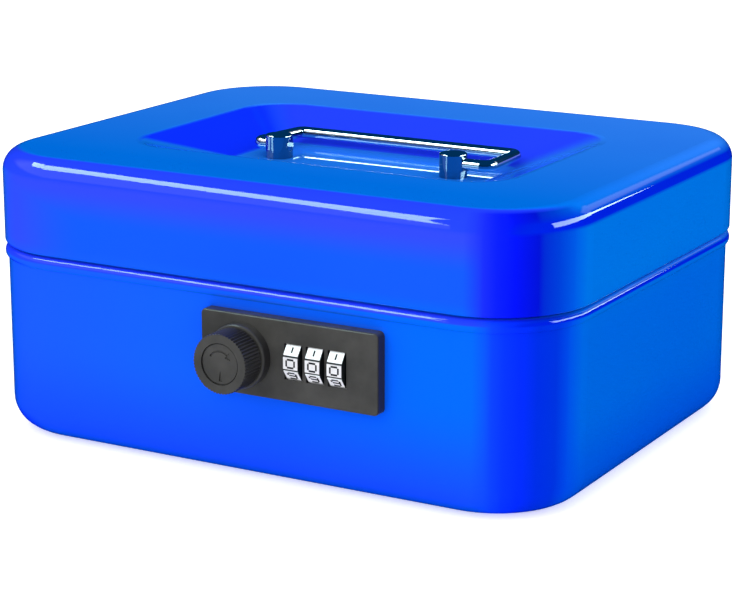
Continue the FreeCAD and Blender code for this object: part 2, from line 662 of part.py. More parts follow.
def lock_case():
    """Rear housing screwed to the face plate through the base's wall."""
    z0 = LOCK_Z - CASE_HALF
    z1 = LOCK_Z + CASE_HALF
    body = box(CASE_X0, CASE_X1, CASE_FRONT, CASE_BACK, z0, z1)
    body = body.makeFillet(CASE_EDGE_R, edges_along_y(body))
    room = box(CASE_X0 + CASE_WALL, CASE_X1 - CASE_WALL, CASE_FRONT - OVER, CASE_BACK - CASE_WALL,
               z0 + CASE_WALL, z1 - CASE_WALL)
    body = body.cut(room)
    pillars = [rod_y(CASE_FRONT, CASE_BACK - OVER, x, z, PILLAR_R) for x, z in SCREWS]
    cheeks = []
    for x0 in (DIAL_X[0] - CHEEK_IN - CHEEK, DIAL_X[2] + CHEEK_OUT):
        x1 = x0 + CHEEK
        cheeks.append(box(x0, x1, CASE_FRONT, CASE_BACK - OVER, z0 + OVER, z1 - OVER))
        cheeks.append(box(x0, x1, EAR_FRONT, CASE_FRONT + OVER, LOCK_Z - EAR_HALF, LOCK_Z + EAR_HALF))
    body = fuse([body] + pillars + cheeks)
    axle = rod_x(CASE_X0, CASE_X1 - CASE_WALL, DIAL_Y, LOCK_Z, AXLE_R + HOLE_GAP)
    holes = [rod_y(CASE_FRONT - OVER, CASE_BACK + OVER, x, z, SCREW_R + HOLE_GAP) for x, z in SCREWS]
    y0 = CASE_BACK - CASE_WALL - OVER
    y1 = CASE_BACK + OVER
    shaft = rod_y(y0, y1, KNOB_X, LOCK_Z, SPINDLE_R + SPIN_GAP)
    half_w = STEM_W / 2 + SPIN_GAP
    half_h = STEM_H / 2 + SPIN_GAP
    slot = box(LEVER_X - half_w, LEVER_X + LEVER_TRAVEL + half_w, y0, y1,
               LEVER_Z - half_h, LEVER_Z + half_h)
    return cut(body, [axle, shaft, slot] + holes)


def case_screws():
    """Pan-head screws from the housing into the face plate's bosses."""
    top = CASE_BACK + SCREW_HEAD
    screws = []
    for x, z in SCREWS:
        shank = rod_y(CASE_FRONT - SCREW_REACH, CASE_BACK + BITE, x, z, SCREW_R)
        head = rod_y(CASE_BACK, top, x, z, SCREW_HEAD_R)
        head = head.makeFillet(SCREW_SLOT, front_edges(head, top))
        slot = box(x - SCREW_HEAD_R - OVER, x + SCREW_HEAD_R + OVER, top - SCREW_SLOT, top + OVER,
                   z - SCREW_SLOT / 2, z + SCREW_SLOT / 2)
        screws.append(fuse([shank, head]).cut(slot))
    return Part.makeCompound(screws)


def centred_block(x, z, width, height, y0, y1):
    return box(x - width / 2, x + width / 2, y0, y1, z - height / 2, z + height / 2)


def code_set_lever():
    """Small slider in the housing's back that frees the dials for a new code."""
    thumb = centred_block(LEVER_X, LEVER_Z, THUMB_W, THUMB_H, CASE_BACK + SPIN_GAP, CASE_BACK + CASE_WALL)
    uprights = [edge for edge in thumb.Edges if edge.BoundBox.ZLength > THUMB_H / 2]
    thumb = thumb.makeFillet(BITE, uprights)
    inside = CASE_BACK - CASE_WALL - SPIN_GAP
    stem = centred_block(LEVER_X, LEVER_Z, STEM_W, STEM_H, inside - BITE, CASE_BACK + 2 * BITE)
    foot = centred_block(LEVER_X, LEVER_Z, THUMB_W, THUMB_H - BITE, inside - OVER, inside)
    return fuse([thumb, stem, foot])


def lid_striker():
    """Folded bracket on the lid's front wall with a window for the hook."""
    front = -(BOX_D / 2 - SHEET)
    flange = box(LEG_X0 - FLANGE_LEFT, LEG_X1 + FLANGE_RIGHT, front, front + FLANGE_T,
                 FLANGE_LOW, STRIKER_TOP)
    flange = flange.makeFillet(FLANGE_R, edges_along_y(flange))
    leg = extrude_yz([(front, FLANGE_LOW), (front, STRIKER_TOP), (LEG_BACK, STRIKER_TOP),
                      (LEG_BACK, LEG_LOW), (LEG_FRONT, LEG_LOW), (LEG_FRONT, FLANGE_LOW)],
                     LEG_X0, LEG_X1)
    y0, y1, z0, z1 = CATCH
    return fuse([flange, leg]).cut(box(LEG_X0 - OVER, LEG_X1 + OVER, y0, y1, z0, z1))


def rounded_path(points, radius):
    """Open path through points with every inner corner rounded."""
    edges = []
    start = points[0]
    for i in range(1, len(points) - 1):
        corner = points[i]
        into = (corner - points[i - 1]).normalize()
        out = (points[i + 1] - corner).normalize()
        half_turn = into.getAngle(out) / 2
        tangent = radius * math.tan(half_turn)
        bisector = (out - into).normalize()
        a = corner - into * tangent
        b = corner + out * tangent
        middle = corner + bisector * (radius / math.cos(half_turn) - radius)
        edges.append(Part.makeLine(start, a))
        edges.append(Part.Arc(a, middle, b).toShape())
        start = b
    edges.append(Part.makeLine(start, points[-1]))
    return Part.Wire(edges)


def bail_handle():
    """Bent wire handle: bar, two arms and two inturned ends held by the posts."""
    x = BAIL_SHIFT
    y = POST_Y
    rear = y + BAIL_REACH
    points = [V(x - WIRE_END, y, BAIL_Z), V(x - BAIL_FRONT, y, BAIL_Z), V(x - BAIL_REAR, rear, BAIL_Z),
              V(x + BAIL_REAR, rear, BAIL_Z), V(x + BAIL_FRONT, y, BAIL_Z), V(x + WIRE_END, y, BAIL_Z)]
    path = rounded_path(points, BEND_R)
    section = Part.Wire([Part.makeCircle(WIRE_R, points[0], X_AXIS)])
    wire = path.makePipeShell([section], True, True)
    wire.rotate(V(0, y, BAIL_Z), X_AXIS, -BAIL_TILT)
    return wire


def handle_post(side):
    """Post standing in the recess, bored for the wire, peened under the lid."""
    x = side * POST_X
    under = FLOOR_Z - SHEET
    post = rod_z(FLOOR_Z, POST_TOP, x, POST_Y, POST_R)
    post = post.makeFillet(POST_EDGE_R, edges_at(post, POST_TOP))
    tenon = rod_z(under - TENON_CLEAR, FLOOR_Z + BITE, x, POST_Y, TENON_R)
    peen = rod_z(under - PEEN_LOW, under - PEEN_TOP, x, POST_Y, PEEN_R)
    peen = peen.makeFillet(PEEN_EDGE_R, edges_at(peen, under - PEEN_LOW))
    body = fuse([post, tenon, peen])
    return body.cut(rod_x(x - POST_R - OVER, x + POST_R + OVER, POST_Y, BAIL_Z, WIRE_R + WIRE_GAP))


def post_washers():
    """Washers between the lid's underside and the peened heads."""
    top = FLOOR_Z - SHEET
    washers = []
    for side in (-1, 1):
        x = side * POST_X
        ring = rod_z(top - WASHER_T, top, x, POST_Y, WASHER_R)
        bore = rod_z(top - WASHER_T - OVER, top + OVER, x, POST_Y, TENON_R + HOLE_GAP)
        washers.append(ring.cut(bore))
    return Part.makeCompound(washers)


def tray_rest(side):
    """Angle strip welded to the base's side wall, under the coin tray's edge."""
    wall = BOX_W / 2 - WALL_INSET - SHEET
    x0, x1 = sorted((side * wall, side * (wall - SHEET)))
    back = box(x0, x1, -REST_HALF, REST_HALF, REST_TOP - REST_H, REST_TOP)
    x0, x1 = sorted((side * wall, side * (wall - REST_W)))
    shelf = box(x0, x1, -REST_HALF, REST_HALF, REST_TOP - SHEET, REST_TOP)
    return fuse([back, shelf])


def coin_tray():
    """Lift-out tray with five compartments, notched in front for the lock."""
    t = TRAY_WALL
    half = t / 2
    top = TRAY_Z1 + OVER
    outer = rounded_prism(TRAY_W, TRAY_D, TRAY_R, TRAY_Z0, TRAY_Z1)
    outer = outer.cut(box(NOTCH_X0, NOTCH_X1, -TRAY_D, NOTCH_Y, TRAY_Z0 - OVER, top))
    outer = outer.makeFillet(TRAY_EDGE_R, edges_at(outer, TRAY_Z0))
    inner = rounded_prism(TRAY_W - 2 * t, TRAY_D - 2 * t, TRAY_R - t, TRAY_Z0 + t, top)
    inner = inner.cut(box(NOTCH_X0 - t, NOTCH_X1 + t, -TRAY_D, NOTCH_Y + t, TRAY_Z0, top + OVER))
    walls = [box(-TRAY_W, TRAY_W, DIVIDER_Y - half, DIVIDER_Y + half, TRAY_Z0, top)]
    for x in (-DIVIDER_X, DIVIDER_X):
        walls.append(box(x - half, x + half, -TRAY_D, DIVIDER_Y, TRAY_Z0, top))
    walls.append(box(-half, half, DIVIDER_Y, TRAY_D, TRAY_Z0, top))
    return outer.cut(cut(inner, walls))


def save(name, shape):
    shape.exportStep(os.path.join("parts", name + ".step"))


def build():
    os.makedirs("parts", exist_ok=True)
    save("base_shell", base_shell())
    save("lid_shell", lid_shell())
    for side, word in ((-1, "left"), (1, "right")):
        save("hinge_base_leaf_" + word, hinge_base_leaf(side))
        save("hinge_lid_leaf_" + word, hinge_lid_leaf(side))
        save("hinge_pin_" + word, hinge_pin(side))
        save("handle_post_" + word, handle_post(side))
        save("tray_rest_" + word, tray_rest(side))
    base_wall = BOX_D / 2 - WALL_INSET
    save("hinge_rivets_base", hinge_rivets(RIVET_BASE_Z, base_wall - SHEET, base_wall + LEAF))
    lid_wall = BOX_D / 2
    save("hinge_rivets_lid", hinge_rivets(RIVET_LID_Z, lid_wall - SHEET, lid_wall + LEAF))
    save("lock_plate", lock_plate())
    save("turn_knob", turn_knob())
    save("knob_spindle", knob_spindle())
    save("latch_cam", latch_cam())
    save("cam_nut", cam_nut())
    for i, x in enumerate(DIAL_X, 1):
        save("number_dial_%d" % i, number_dial(x))
        save("clutch_sleeve_%d" % i, clutch_sleeve(x))
    save("dial_axle", dial_axle())
    save("detent_spring", detent_spring())
    save("fence_bar", fence_bar())
    save("lock_case", lock_case())
    save("case_screws", case_screws())
    save("code_set_lever", code_set_lever())
    save("lid_striker", lid_striker())
    save("bail_handle", bail_handle())
    save("post_washers", post_washers())
    save("coin_tray", coin_tray())


build()
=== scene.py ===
import math
import bmesh
import bpy
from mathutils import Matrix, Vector

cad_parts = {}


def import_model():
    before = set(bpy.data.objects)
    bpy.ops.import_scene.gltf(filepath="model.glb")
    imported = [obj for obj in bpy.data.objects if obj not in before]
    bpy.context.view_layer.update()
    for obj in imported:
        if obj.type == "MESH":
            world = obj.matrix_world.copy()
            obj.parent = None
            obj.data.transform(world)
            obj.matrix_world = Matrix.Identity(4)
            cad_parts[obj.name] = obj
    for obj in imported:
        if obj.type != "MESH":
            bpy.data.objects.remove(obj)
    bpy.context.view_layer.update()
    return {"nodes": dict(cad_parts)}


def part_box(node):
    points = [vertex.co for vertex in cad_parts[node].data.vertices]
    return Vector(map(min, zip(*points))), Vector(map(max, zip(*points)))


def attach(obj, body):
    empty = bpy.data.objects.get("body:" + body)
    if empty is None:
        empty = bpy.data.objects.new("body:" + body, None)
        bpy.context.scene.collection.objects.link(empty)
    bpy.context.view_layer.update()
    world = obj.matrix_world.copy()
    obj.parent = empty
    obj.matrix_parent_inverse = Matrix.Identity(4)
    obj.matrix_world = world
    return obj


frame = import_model()

# Camera, fitted to the outline, seam and recess of the box: degrees, metres, millimetres of lens
CAMERA_AZIMUTH = 29.67
CAMERA_ELEVATION = 14.69
CAMERA_DISTANCE = 0.765
CAMERA_TARGET = Vector((-0.0013, 0.0, 0.03714))
SENSOR_WIDTH = 36.0
LENS = 115.94

# What polished surfaces see of the room, and the brightness of the white room for diffuse light
REFLECTED_ROOM = (0.0, 0.030, 0.10)
ROOM_LIGHT = 1.25

# Heights where the paint's colour changes from the base's to the lid's, metres
SEAM = (0.0590, 0.0600)

# Blues of the enamel, with painted reflection and shade by facing and height: azure top and sides, royal
# front, a violet reflection on the lid's front, shade towards the foot, and dark reflections in the bends and
# dish walls
TOP_NEAR = (0.0, 0.165, 0.80)
TOP_FAR = (0.034, 0.235, 1.0)
SIDE_FOOT_SHADE = (0.0, 0.066, 0.60)
SIDE_BASE = (0.0, 0.108, 0.60)
SIDE_LID = (0.0, 0.138, 0.62)
FRONT_LEFT = (0.010, 0.080, 0.88)
FRONT_RIGHT = (0.0015, 0.112, 0.86)
FRONT_FOOT_SHADE = (0.007, 0.055, 0.86)
LID_FRONT = (0.006, 0.080, 0.88)
LID_VIOLET_REFLECTION = (0.026, 0.053, 0.90)
FRONT_BEND_REFLECTION = (0.016, 0.046, 0.92)
SIDE_BEND = (0.0, 0.010, 0.60)
DISH_WALL_REFLECTION = (0.003, 0.022, 0.95)
CLOUD = (0.0, 0.05, 0.7)

# How dark the painted dark reflection along the bend of the lid's right edge is, by how far it faces up
SIDE_BEND_DEPTH = ((0.09, 0.0), (0.18, 1.0), (0.48, 1.0), (0.58, 0.55), (0.85, 0.0))

# Round the front right corner, degrees from the front: how far the deep blue of a painted dark reflection
# covers the paint, and its colour, on the lid and on the base
LID_CORNER_COVER = ((8, 0.0), (19, 1.0), (72, 1.0), (84, 0.0))
LID_CORNER = ((17, (0.010, 0.022, 0.85)), (26, (0.003, 0.008, 0.85)), (36, (0.001, 0.002, 0.72)),
              (49, (0.0005, 0.002, 0.50)), (52, (0.0005, 0.017, 0.49)), (61, (0.0, 0.036, 0.52)),
              (74, (0.0, 0.082, 0.60)))
BASE_CORNER_COVER = ((13, 0.0), (24, 1.0), (70, 1.0), (84, 0.0))
BASE_CORNER = ((20, (0.004, 0.050, 0.85)), (31, (0.002, 0.026, 0.85)), (40, (0.001, 0.018, 0.76)),
               (50, (0.0, 0.019, 0.60)), (62, (0.0, 0.024, 0.56)), (72, (0.0, 0.056, 0.62)))

# Light panels: corners in metres, colour and strength
STRIP_Z = 0.9
STRIP_FRONT = [(x, y, STRIP_Z) for x, y in (
    (-0.90, 0.05), (-0.66, -0.20), (-0.514, -0.480), (-0.419, -0.593),
    (-0.768, -1.518), (-0.702, -0.996), (-0.748, -0.634), (-1.05, -0.28))]
STRIP_FRONT_LIGHT = ((0.68, 1.0, 1.0), 11.4)
STRIP_RIGHT = [(1.5, 0.0, 0.50), (1.5, 0.0, 1.05), (1.5, 3.4, 1.22), (1.5, 3.4, 0.90)]
STRIP_RIGHT_LIGHT = ((0.72, 1.0, 1.0), 10.0)
CARD_LEFT = [(-1.5, -3.6, 0.5), (-1.5, 0.6, 0.5), (-1.5, 0.6, 1.9), (-1.5, -3.6, 1.9)]
CARD_REAR = [(0.4, 3.5, 1.2), (2.0, 3.0, 1.2), (2.0, 3.0, 2.3), (0.4, 3.5, 2.3)]
CARD_LIGHT = ((0.82, 0.86, 1.0), 0.7)
CARD_FADE = (0.30, 0.5)     # a card fades between these distances from its middle
KEY_PLACE = (-0.9, -1.6, 1.5)
KEY_AIM = (0, 0, 0.04)
KEY_SIZE = (1.4, 1.1)
KEY_POWER = 8.0
FLOOR_HALF = 12.0

# Digits on the dials, metres
DIAL_SIDES = 10
DIGIT_WIDTH = 0.0032
DIGIT_HEIGHT = 0.0029
STROKE = 0.00054
DIGIT_CORNER = 0.0005
DIGIT_RAISE = 0.00005
DIGIT_SINK = 0.00005
DIGIT_BEVEL = 0.00002

# Strokes of each digit: top, middle, bottom, upper and lower left and right, centre line
STROKES = {
    "T": [(column, 4) for column in range(5)],
    "M": [(column, 2) for column in range(5)],
    "B": [(column, 0) for column in range(5)],
    "a": [(0, row) for row in (2, 3, 4)],
    "b": [(0, row) for row in (0, 1, 2)],
    "c": [(4, row) for row in (2, 3, 4)],
    "d": [(4, row) for row in (0, 1, 2)],
    "C": [(2, row) for row in range(5)],
}
DIGITS = ("TBabcd", "C", "TMBcb", "TMBcd", "Macd", "TMBad", "TMBabd", "Tcd", "TMBabcd", "TMBacd")


class Graph:
    """A material's node tree with one Principled shader and short ways to add nodes."""

    def __init__(self, name):
        self.material = bpy.data.materials.new(name)
        self.material.use_nodes = True
        self.tree = self.material.node_tree
        self.tree.nodes.clear()
        self.shader = self.tree.nodes.new("ShaderNodeBsdfPrincipled")
        output = self.tree.nodes.new("ShaderNodeOutputMaterial")
        self.link(self.shader.outputs["BSDF"], output.inputs["Surface"])
        self.coordinates = self.tree.nodes.new("ShaderNodeTexCoord")

    def link(self, source, target):
        self.tree.links.new(source, target)

    def feed(self, value, socket):
        """Links an output to the socket, or sets the socket to a plain value."""
        if isinstance(value, bpy.types.NodeSocket):
            self.link(value, socket)
        elif isinstance(value, (int, float)):
            socket.default_value = value
        else:
            socket.default_value = tuple(value) + (1.0,) * (len(socket.default_value) - len(value))

    def set(self, **values):
        """Sets shader inputs; underscores in a name stand for spaces."""
        for name, value in values.items():
            self.feed(value, self.shader.inputs[name.replace("_", " ")])

    def place(self):
        """Place on the object, metres in the CAD frame."""
        return self.coordinates.outputs["Object"]

    def facing(self):
        """Way the surface faces, fixed to the object."""
        return self.coordinates.outputs["Normal"]

    def noise(self, scale, detail=2.0, roughness=0.5):
        """Cloudy grey from zero to one, with scale waves to the metre."""
        node = self.tree.nodes.new("ShaderNodeTexNoise")
        node.inputs["Scale"].default_value = scale
        node.inputs["Detail"].default_value = detail
        node.inputs["Roughness"].default_value = roughness
        self.link(self.place(), node.inputs["Vector"])
        return node.outputs["Fac"]

    def math(self, operation, a, b=0.0):
        node = self.tree.nodes.new("ShaderNodeMath")
        node.operation = operation
        self.feed(a, node.inputs[0])
        self.feed(b, node.inputs[1])
        return node.outputs[0]

    def spread(self, value, low, high, to_low=0.0, to_high=1.0, smooth=False):
        """Maps low..high onto to_low..to_high, clamped."""
        node = self.tree.nodes.new("ShaderNodeMapRange")
        node.interpolation_type = "SMOOTHSTEP" if smooth else "LINEAR"
        for socket, number in zip(node.inputs[1:5], (low, high, to_low, to_high)):
            socket.default_value = number
        self.link(value, node.inputs["Value"])
        return node.outputs["Result"]

    def parts(self, vector):
        node = self.tree.nodes.new("ShaderNodeSeparateXYZ")
        self.link(vector, node.inputs[0])
        return node.outputs

    def mix(self, factor, first, second):
        node = self.tree.nodes.new("ShaderNodeMix")
        node.data_type = "RGBA"
        self.feed(factor, node.inputs[0])
        self.feed(first, node.inputs[6])
        self.feed(second, node.inputs[7])
        return node.outputs[2]

    def ramp(self, value, low, high, stops):
        """Colours or greys at places along low..high, blended smoothly between."""
        node = self.tree.nodes.new("ShaderNodeValToRGB")
        elements = node.color_ramp.elements
        while len(elements) < len(stops):
            elements.new(0.5)
        for element, (place, colour) in zip(elements, stops):
            element.position = (place - low) / (high - low)
            if isinstance(colour, float):
                colour = (colour,) * 3
            element.color = tuple(colour) + (1.0,)
        self.link(self.spread(value, low, high), node.inputs["Fac"])
        return node.outputs["Color"]

    def bump(self, height, strength, distance):
        node = self.tree.nodes.new("ShaderNodeBump")
        node.inputs["Strength"].default_value = strength
        node.inputs["Distance"].default_value = distance
        self.link(height, node.inputs["Height"])
        self.link(node.outputs["Normal"], self.shader.inputs["Normal"])


def product(g, a, b, low, high):
    """Mask of a bend between two ways of facing: the parts' product, from low to high."""
    return g.spread(g.math("MULTIPLY", a, b), low, high, smooth=True)


def paint_corner_reflection(g, facing, height, body):
    """Deepens the paint round the front right corner with a painted dark reflection."""
    x, forward, z = facing
    degrees = g.math("MULTIPLY", g.math("ARCTAN2", x, forward), 180 / math.pi)
    on_lid = g.spread(height, *SEAM)
    deep = g.mix(on_lid, g.ramp(degrees, 0.0, 90.0, BASE_CORNER), g.ramp(degrees, 0.0, 90.0, LID_CORNER))
    cover = g.mix(on_lid, g.ramp(degrees, 0.0, 90.0, BASE_CORNER_COVER),
                  g.ramp(degrees, 0.0, 90.0, LID_CORNER_COVER))
    standing = g.spread(z, 0.86, 0.97, 1.0, 0.0)
    return g.mix(g.math("MULTIPLY", cover, standing), body, deep)


def paint_flats(g, facing, place):
    """Azure top and sides, royal front, each drifting a little across the sheet: painted reflection and shade
    by facing, with painted shade towards the foot and a painted violet reflection along the top and left of
    the lid's front.
    """
    x, y, z = facing
    place_x, place_y, height = place
    # Painted reflection: the top lighter towards the back
    top = g.mix(g.spread(place_y, -0.06, 0.08), TOP_NEAR, TOP_FAR)
    # Painted shade: the sides darker towards the foot
    side = g.mix(g.spread(height, 0.0, 0.03, smooth=True), SIDE_FOOT_SHADE, SIDE_BASE)
    side = g.mix(g.spread(height, 0.050, 0.066, smooth=True), side, SIDE_LID)
    azure = g.mix(g.spread(z, 0.5, 0.9), side, top)
    low = g.mix(g.spread(place_x, -0.09, 0.06), FRONT_LEFT, FRONT_RIGHT)
    # Painted shade: the front darker towards the foot
    low = g.mix(g.spread(height, 0.0, 0.035, smooth=True), FRONT_FOOT_SHADE, low)
    # Painted violet reflection near the top and the left end of the lid's front
    violet = g.math("MAXIMUM", g.spread(height, 0.072, 0.083, smooth=True),
                    g.spread(place_x, -0.088, -0.055, 1.0, 0.0, smooth=True))
    lid = g.mix(violet, LID_FRONT, LID_VIOLET_REFLECTION)
    royal = g.mix(g.spread(height, 0.058, 0.064), low, lid)
    return g.mix(g.spread(g.math("ABSOLUTE", y), 0.55, 0.95, smooth=True), azure, royal)


def blue_paint():
    """Glossy blue enamel with painted reflection and shade in its colour: its blue changes with the way the
    sheet faces and with height.
    """
    g = Graph("blue_paint")
    x, y, z = g.parts(g.facing())
    place = g.parts(g.place())
    forward = g.math("MULTIPLY", y, -1.0)
    body = paint_flats(g, (x, y, z), place)
    # Painted reflection on the bends between the front and the top
    tilt_front = product(g, forward, z, 0.06, 0.24)
    body = g.mix(tilt_front, body, FRONT_BEND_REFLECTION)
    # Painted dark reflection on the dish's left wall, which leans to face right
    inward = g.math("MULTIPLY", product(g, x, z, 0.06, 0.24), g.spread(place[0], -0.02, 0.02, 1.0, 0.0))
    inward = g.math("MULTIPLY", inward, g.spread(y, 0.04, 0.14, 1.0, 0.0, smooth=True))
    body = g.mix(inward, body, DISH_WALL_REFLECTION)
    # Painted dark reflection round the front right corner
    body = paint_corner_reflection(g, (x, forward, z), place[2], body)
    # Painted dark reflection along the bends of the right side
    sideways = g.spread(x, 0.45, 0.68, smooth=True)
    side_bend = g.ramp(z, 0.0, 1.0, SIDE_BEND_DEPTH)
    body = g.mix(g.math("MULTIPLY", sideways, side_bend), body, SIDE_BEND)
    cloud = g.spread(g.noise(22.0, 3.0), 0.35, 0.65)
    colour = g.mix(g.math("MULTIPLY", cloud, 0.06), body, CLOUD)
    peel = g.noise(900.0, 1.0)
    smear = g.noise(60.0, 4.0, 0.6)
    g.set(Base_Color=colour, Roughness=g.spread(smear, 0.3, 0.7, 0.30, 0.36),
          Specular_IOR_Level=0.0, Coat_Weight=1.0, Coat_Roughness=0.02, Coat_IOR=1.5)
    g.bump(peel, 0.012, 0.00005)
    return g.material


def black_plastic(name, grain, gloss):
    """Moulded plastic with a fine grain and a slight skin gloss, with painted shade darkening its end faces.
    """
    g = Graph(name)
    across = g.spread(g.math("ABSOLUTE", g.parts(g.facing())[0]), 0.5, 0.95)
    cloud = g.spread(g.noise(60.0, 4.0, 0.6), 0.35, 0.65)
    front = g.mix(cloud, (0.036, 0.036, 0.033), (0.060, 0.059, 0.055))
    # Painted shade: faces that point sideways darker
    colour = g.mix(across, front, (0.018, 0.017, 0.018))
    speckle = g.noise(grain, 2.0, 0.7)
    g.set(Base_Color=colour, Roughness=g.spread(speckle, 0.3, 0.7, gloss, gloss + 0.12),
          Specular_IOR_Level=0.2, Coat_Weight=0.35, Coat_Roughness=0.16)
    g.bump(speckle, 0.35, 0.00006)
    return g.material


def dial_ink():
    """Black paint of the numbers."""
    g = Graph("dial_ink")
    colour = g.mix(g.noise(1800.0, 2.0), (0.004, 0.005, 0.008), (0.012, 0.013, 0.018))
    g.set(Base_Color=colour, Roughness=g.spread(g.noise(900.0), 0.3, 0.7, 0.45, 0.6),
          Specular_IOR_Level=0.1)
    return g.material


def plated_steel():
    """Zinc plating with a faint grain and a yellowed bloom."""
    g = Graph("zinc_steel")
    bloom = g.spread(g.noise(180.0, 4.0), 0.35, 0.65)
    colour = g.mix(bloom, (0.50, 0.51, 0.52), (0.62, 0.60, 0.55))
    grain = g.noise(900.0, 3.0, 0.7)
    g.set(Base_Color=colour, Metallic=1.0, Roughness=g.spread(grain, 0.3, 0.7, 0.28, 0.42))
    g.bump(grain, 0.15, 0.00004)
    return g.material


def brass():
    """Turned brass with a light brown stain."""
    g = Graph("brass")
    stain = g.spread(g.noise(240.0, 3.0), 0.4, 0.7)
    colour = g.mix(stain, (0.62, 0.43, 0.13), (0.42, 0.27, 0.09))
    grain = g.noise(1500.0, 2.0)
    g.set(Base_Color=colour, Metallic=1.0, Roughness=g.spread(grain, 0.3, 0.7, 0.25, 0.38))
    g.bump(grain, 0.1, 0.00003)
    return g.material


def chrome():
    """Bright plating with hair-fine polishing lines, and a painted dark bluish reflection on its upright
    sides.
    """
    g = Graph("chrome_wire")
    upright = g.math("ABSOLUTE", g.parts(g.facing())[2])
    cloud = g.noise(120.0, 3.0)
    bright = g.mix(cloud, (0.80, 0.81, 0.85), (0.90, 0.90, 0.93))
    # Painted reflection: upright sides darker and bluish
    colour = g.mix(g.spread(upright, 0.10, 0.45, smooth=True), (0.22, 0.30, 0.36), bright)
    lines = g.noise(2500.0, 2.0)
    g.set(Base_Color=colour, Metallic=1.0, Roughness=g.spread(lines, 0.3, 0.7, 0.03, 0.06))
    g.bump(lines, 0.04, 0.00002)
    return g.material


def dial_metal():
    """Satin silver facets with blackened grooves, as on die-cast dials, and darker end faces."""
    g = Graph("dial_silver")
    low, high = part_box("number_dial_1")
    axis = (low + high) / 2
    place = g.parts(g.place())
    forward = g.math("SUBTRACT", axis.y, place[1])
    upward = g.math("SUBTRACT", place[2], axis.z)
    turn = g.math("ARCTAN2", upward, forward)
    facets = g.math("FRACT", g.math("ADD", g.math("MULTIPLY", turn, DIAL_SIDES / (2 * math.pi)), 10.0))
    from_groove = g.math("ABSOLUTE", g.math("SUBTRACT", facets, 0.5))
    groove = g.spread(from_groove, 0.045, 0.075, 1.0, 0.0)
    end = g.spread(g.math("ABSOLUTE", g.parts(g.facing())[0]), 0.6, 0.9)
    dark = g.math("MAXIMUM", groove, end)
    grain = g.noise(1400.0, 2.0)
    silver = g.mix(grain, (0.66, 0.67, 0.68), (0.84, 0.84, 0.86))
    colour = g.mix(dark, silver, (0.010, 0.012, 0.014))
    g.set(Base_Color=colour, Metallic=0.15, Roughness=g.spread(grain, 0.3, 0.7, 0.30, 0.42),
          Specular_IOR_Level=0.3)
    g.bump(grain, 0.08, 0.00003)
    return g.material


def tray_plastic():
    """Dark moulded plastic with a fine grain."""
    g = Graph("tray_plastic")
    cloud = g.noise(30.0, 3.0)
    colour = g.mix(cloud, (0.020, 0.020, 0.021), (0.034, 0.034, 0.036))
    grain = g.noise(2200.0, 2.0)
    g.set(Base_Color=colour, Roughness=g.spread(grain, 0.3, 0.7, 0.34, 0.46))
    g.bump(grain, 0.15, 0.00005)
    return g.material


def paint_nodes():
    """Puts the right material in every CAD node's slot."""
    made = {
        "blue_paint": blue_paint(),
        "lock_plastic": black_plastic("lock_plastic", 2600.0, 0.46),
        "case_plastic": black_plastic("case_plastic", 1800.0, 0.55),
        "dial_silver": dial_metal(),
        "brass": brass(),
        "zinc_steel": plated_steel(),
        "chrome_wire": chrome(),
        "tray_plastic": tray_plastic(),
    }
    for node in frame["nodes"].values():
        for slot in node.material_slots:
            slot.material = made[slot.material.name.split(".")[0]]


def stroke_cells(digit):
    """Cells of a five by five grid that the digit's strokes fill."""
    cells = set()
    for name in DIGITS[digit]:
        cells.update(STROKES[name])
    return cells


def grid_lines(total):
    """Edges of the five bands across a digit: stroke, gap, stroke, gap, stroke."""
    gap = (total - 3 * STROKE) / 2
    edges = [-total / 2]
    for band in (STROKE, gap, STROKE, gap, STROKE):
        edges.append(edges[-1] + band)
    return edges


def add_digit(mesh, digit, apothem):
    """Adds one raised digit on its facet; the dial's axis is the local X axis."""
    angle = 2 * math.pi * digit / DIAL_SIDES
    outward = Vector((0, -math.cos(angle), math.sin(angle)))
    upward = Vector((0, math.sin(angle), math.cos(angle)))
    columns = grid_lines(DIGIT_WIDTH)
    rows = grid_lines(DIGIT_HEIGHT)
    corners = {}

    def corner(i, j):
        if (i, j) not in corners:
            place = outward * (apothem - DIGIT_SINK) + upward * rows[j]
            place.x = columns[i]
            corners[i, j] = mesh.verts.new(place)
        return corners[i, j]

    faces = []
    for i, j in sorted(stroke_cells(digit)):
        faces.append(mesh.faces.new((corner(i, j), corner(i + 1, j), corner(i + 1, j + 1), corner(i, j + 1))))
    tips = [vertex for vertex in corners.values() if len(vertex.link_faces) == 1]
    bevel = bmesh.ops.bevel(mesh, geom=tips, offset=DIGIT_CORNER, segments=3, affect="VERTICES")
    faces = [face for face in faces if face.is_valid] + bevel["faces"]
    raised = bmesh.ops.extrude_face_region(mesh, geom=faces, use_keep_orig=True)["geom"]
    lifted = [item for item in raised if isinstance(item, bmesh.types.BMVert)]
    bmesh.ops.translate(mesh, verts=lifted, vec=outward * (DIGIT_RAISE + DIGIT_SINK))


def dial_digits():
    """Raised black numbers round each dial, zero facing front."""
    ink = dial_ink()
    for number in (1, 2, 3):
        low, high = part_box("number_dial_%d" % number)
        middle = (low + high) / 2
        apothem = (high.y - low.y) / 2
        mesh = bmesh.new()
        for digit in range(DIAL_SIDES):
            add_digit(mesh, digit, apothem)
        bmesh.ops.recalc_face_normals(mesh, faces=mesh.faces)
        data = bpy.data.meshes.new("dial_digits_%d" % number)
        mesh.to_mesh(data)
        mesh.free()
        data.materials.append(ink)
        piece = bpy.data.objects.new(data.name, data)
        bpy.context.scene.collection.objects.link(piece)
        piece.location = middle
        edge = piece.modifiers.new("edge", "BEVEL")
        edge.width = DIGIT_BEVEL
        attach(piece, "dial_%d" % number)


